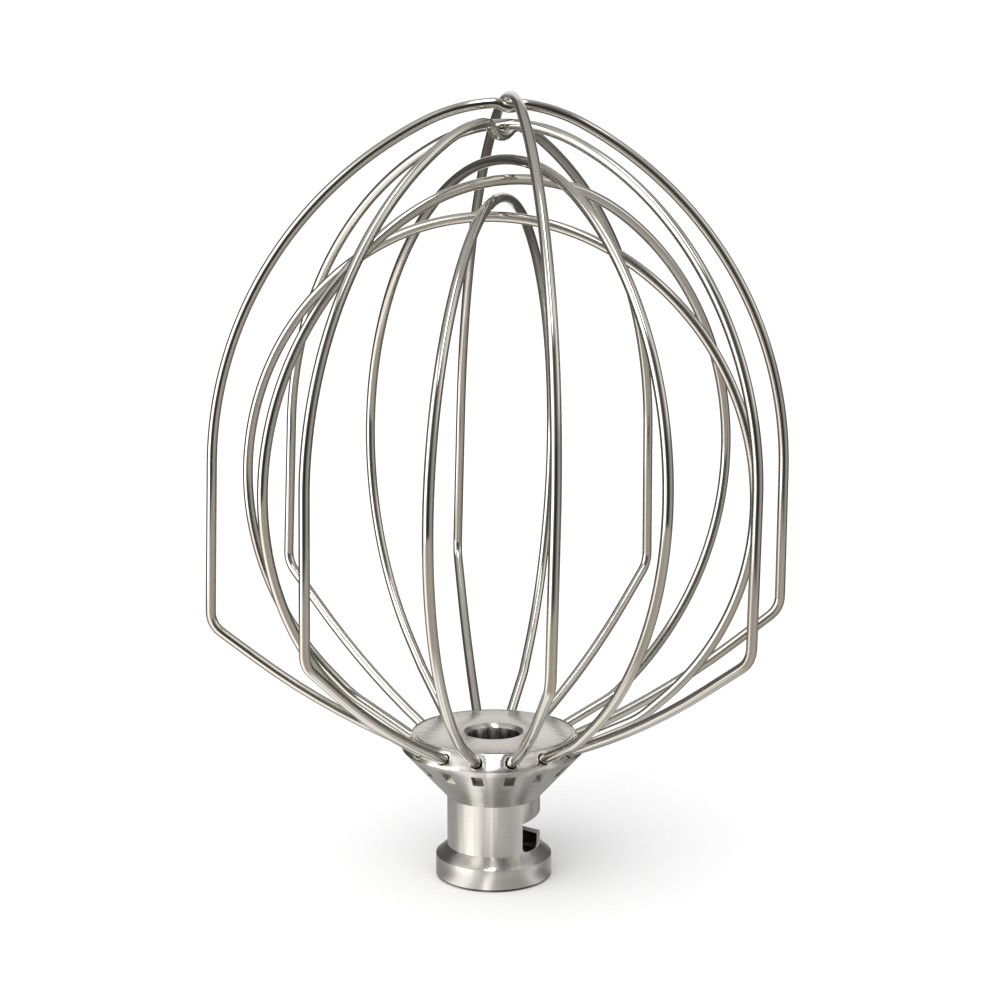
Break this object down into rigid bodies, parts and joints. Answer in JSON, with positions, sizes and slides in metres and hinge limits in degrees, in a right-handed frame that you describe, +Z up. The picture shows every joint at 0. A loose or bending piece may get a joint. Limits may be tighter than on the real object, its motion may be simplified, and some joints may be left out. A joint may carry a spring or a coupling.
{
  "type": "wire whisk",
  "caption": "Balloon whisk of a stand mixer: crossed steel wire loops held in the rim of a turned steel hub with a drive bore and a bayonet slot.",
  "frame": {"origin": "centre of the drive bore at the bottom face of the collar, on which the whisk stands", "axes": "+Z up the drive axis to the crown of the wires, -Y towards the front of the picture, +X to its right"},
  "size_m": [0.1415, 0.1437, 0.1913],
  "materials": {
    "hub_steel": "satin, fine turning lines",
    "wire_steel": "bright drawn"
  },
  "bodies": {
    "root": {"hub": "hub_steel", "outer_loop_1": "wire_steel", "outer_loop_2": "wire_steel", "outer_loop_3": "wire_steel", "outer_loop_4": "wire_steel", "inner_loop_1": "wire_steel", "inner_loop_2": "wire_steel", "inner_loop_3": "wire_steel", "inner_loop_4": "wire_steel"}
  },
  "joints": []
}
